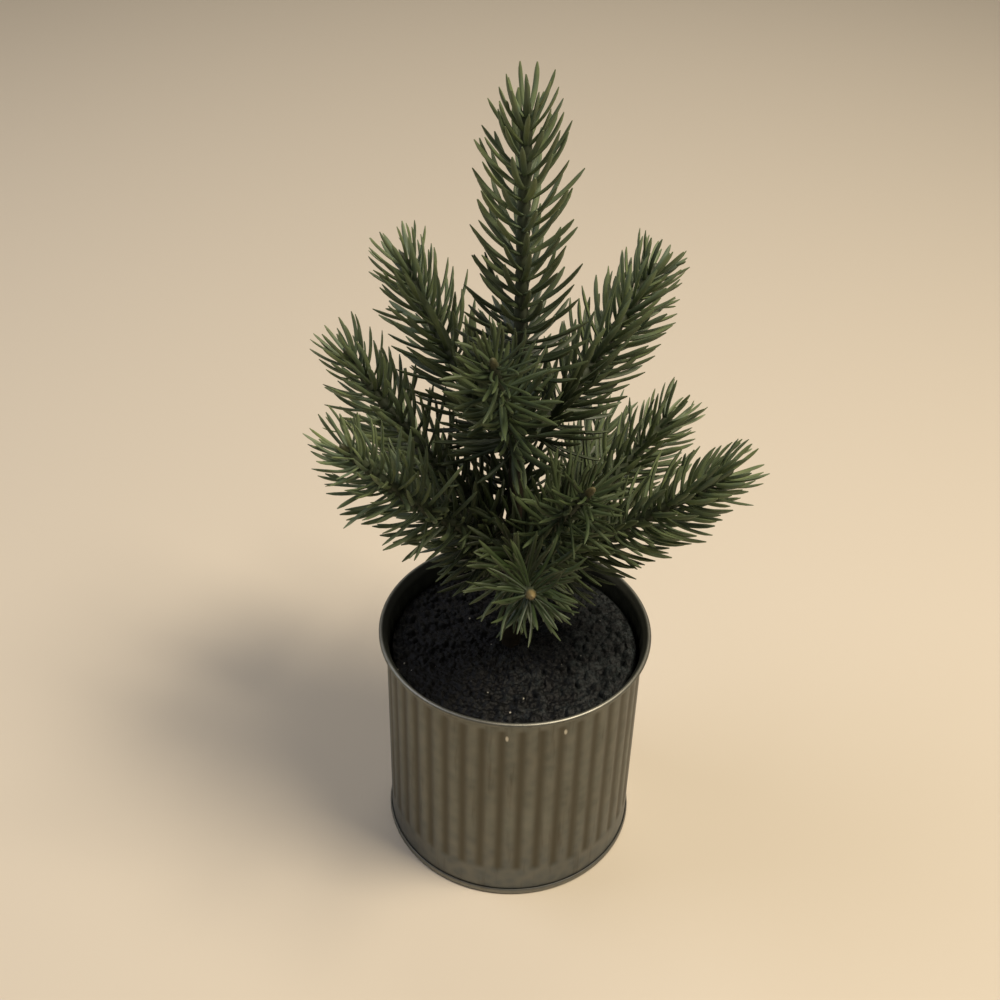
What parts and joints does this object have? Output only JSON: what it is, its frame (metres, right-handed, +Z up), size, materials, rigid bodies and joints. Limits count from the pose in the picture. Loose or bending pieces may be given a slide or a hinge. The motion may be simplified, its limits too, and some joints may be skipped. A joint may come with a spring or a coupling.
{
  "type": "artificial tabletop tree",
  "caption": "Small artificial pine for a table: bendable needle sprigs on a taped stem, standing in black artificial soil in a round fluted galvanised pot.",
  "frame": {"origin": "on the pot's axis at the underside of its flat base", "axes": "+Z up along the pot's axis towards the leader, -Y the front of the tree, +X to the right seen from the front"},
  "size_m": [0.1532, 0.1751, 0.3027],
  "materials": {
    "galvanised": "satin",
    "plaster": "matte",
    "foam": "matte",
    "soil": "matte",
    "steel": "satin",
    "tape": "matte",
    "needles": "satin"
  },
  "bodies": {
    "pot_and_stem": {"pot_wall": "galvanised", "pot_base": "galvanised", "plaster_weight": "plaster", "foam_plug": "foam", "soil": "soil", "stem_rod": "steel", "stem_wrap": "tape"},
    "leader_sprig": {"leader_wire": "steel", "leader_needles": "needles"},
    "upper_left_sprig": {"upper_left_wire": "steel", "upper_left_needles": "needles"},
    "upper_right_sprig": {"upper_right_wire": "steel", "upper_right_needles": "needles"},
    "upper_front_sprig": {"upper_front_wire": "steel", "upper_front_needles": "needles"},
    "middle_left_sprig": {"middle_left_wire": "steel", "middle_left_needles": "needles"},
    "middle_front_left_sprig": {"middle_front_left_wire": "steel", "middle_front_left_needles": "needles"},
    "middle_front_sprig": {"middle_front_wire": "steel", "middle_front_needles": "needles"},
    "middle_back_sprig": {"middle_back_wire": "steel", "middle_back_needles": "needles"},
    "lower_back_left_sprig": {"lower_back_left_wire": "steel", "lower_back_left_needles": "needles"},
    "lower_back_right_sprig": {"lower_back_right_wire": "steel", "lower_back_right_needles": "needles"},
    "lower_right_back_sprig": {"lower_right_back_wire": "steel", "lower_right_back_needles": "needles"},
    "lower_right_sprig": {"lower_right_wire": "steel", "lower_right_needles": "needles"},
    "lower_front_right_sprig": {"lower_front_right_wire": "steel", "lower_front_right_needles": "needles"}
  },
  "joints": [
    {"name": "bend_leader", "type": "hinge", "parent": "pot_and_stem", "child": "leader_sprig", "pos_m": [-0.0015, 0, 0.2038], "axis": [0.9848, 0.1736, 0], "range_deg": [-15, 15]},
    {"name": "bend_upper_left", "type": "hinge", "parent": "pot_and_stem", "child": "upper_left_sprig", "pos_m": [-0.00408, 0.00225, 0.172], "axis": [0.6561, 0.7547, 0], "range_deg": [-15, 20]},
    {"name": "bend_upper_right", "type": "hinge", "parent": "pot_and_stem", "child": "upper_right_sprig", "pos_m": [0.00108, 0.00217, 0.175], "axis": [0.6428, -0.766, 0], "range_deg": [-15, 20]},
    {"name": "bend_upper_front", "type": "hinge", "parent": "pot_and_stem", "child": "upper_front_sprig", "pos_m": [-0.00208, -0.0033, 0.176], "axis": [-0.9848, 0.1736, 0], "range_deg": [-15, 15]},
    {"name": "bend_middle_left", "type": "hinge", "parent": "pot_and_stem", "child": "middle_left_sprig", "pos_m": [-0.00534, 0.00103, 0.139], "axis": [0.2588, 0.9659, 0], "range_deg": [-15, 20]},
    {"name": "bend_middle_front_left", "type": "hinge", "parent": "pot_and_stem", "child": "middle_front_left_sprig", "pos_m": [-0.005, -0.00202, 0.135], "axis": [-0.5, 0.866, 0], "range_deg": [-15, 20]},
    {"name": "bend_middle_front", "type": "hinge", "parent": "pot_and_stem", "child": "middle_front_sprig", "pos_m": [-0.00122, -0.00394, 0.141], "axis": [-0.9976, -0.0698, 0], "range_deg": [-10, 20]},
    {"name": "bend_middle_back", "type": "hinge", "parent": "pot_and_stem", "child": "middle_back_sprig", "pos_m": [-0.00184, 0.00386, 0.145], "axis": [0.9962, 0.0872, 0], "range_deg": [-15, 20]},
    {"name": "bend_lower_back_left", "type": "hinge", "parent": "pot_and_stem", "child": "lower_back_left_sprig", "pos_m": [-0.0043, 0.00333, 0.117], "axis": [0.766, 0.6428, 0], "range_deg": [-10, 20]},
    {"name": "bend_lower_back_right", "type": "hinge", "parent": "pot_and_stem", "child": "lower_back_right_sprig", "pos_m": [0.00055, 0.00386, 0.116], "axis": [0.8829, -0.4695, 0], "range_deg": [-10, 20]},
    {"name": "bend_lower_right_back", "type": "hinge", "parent": "pot_and_stem", "child": "lower_right_back_sprig", "pos_m": [0.00229, 0.00193, 0.123], "axis": [0.454, -0.891, 0], "range_deg": [-15, 20]},
    {"name": "bend_lower_right", "type": "hinge", "parent": "pot_and_stem", "child": "lower_right_sprig", "pos_m": [0.00267, -0.00059, 0.125], "axis": [-0.1392, -0.9903, 0], "range_deg": [-15, 20]},
    {"name": "bend_lower_front_right", "type": "hinge", "parent": "pot_and_stem", "child": "lower_front_right_sprig", "pos_m": [0.00038, -0.0037, 0.129], "axis": [-0.891, -0.454, 0], "range_deg": [-15, 15]}
  ]
}
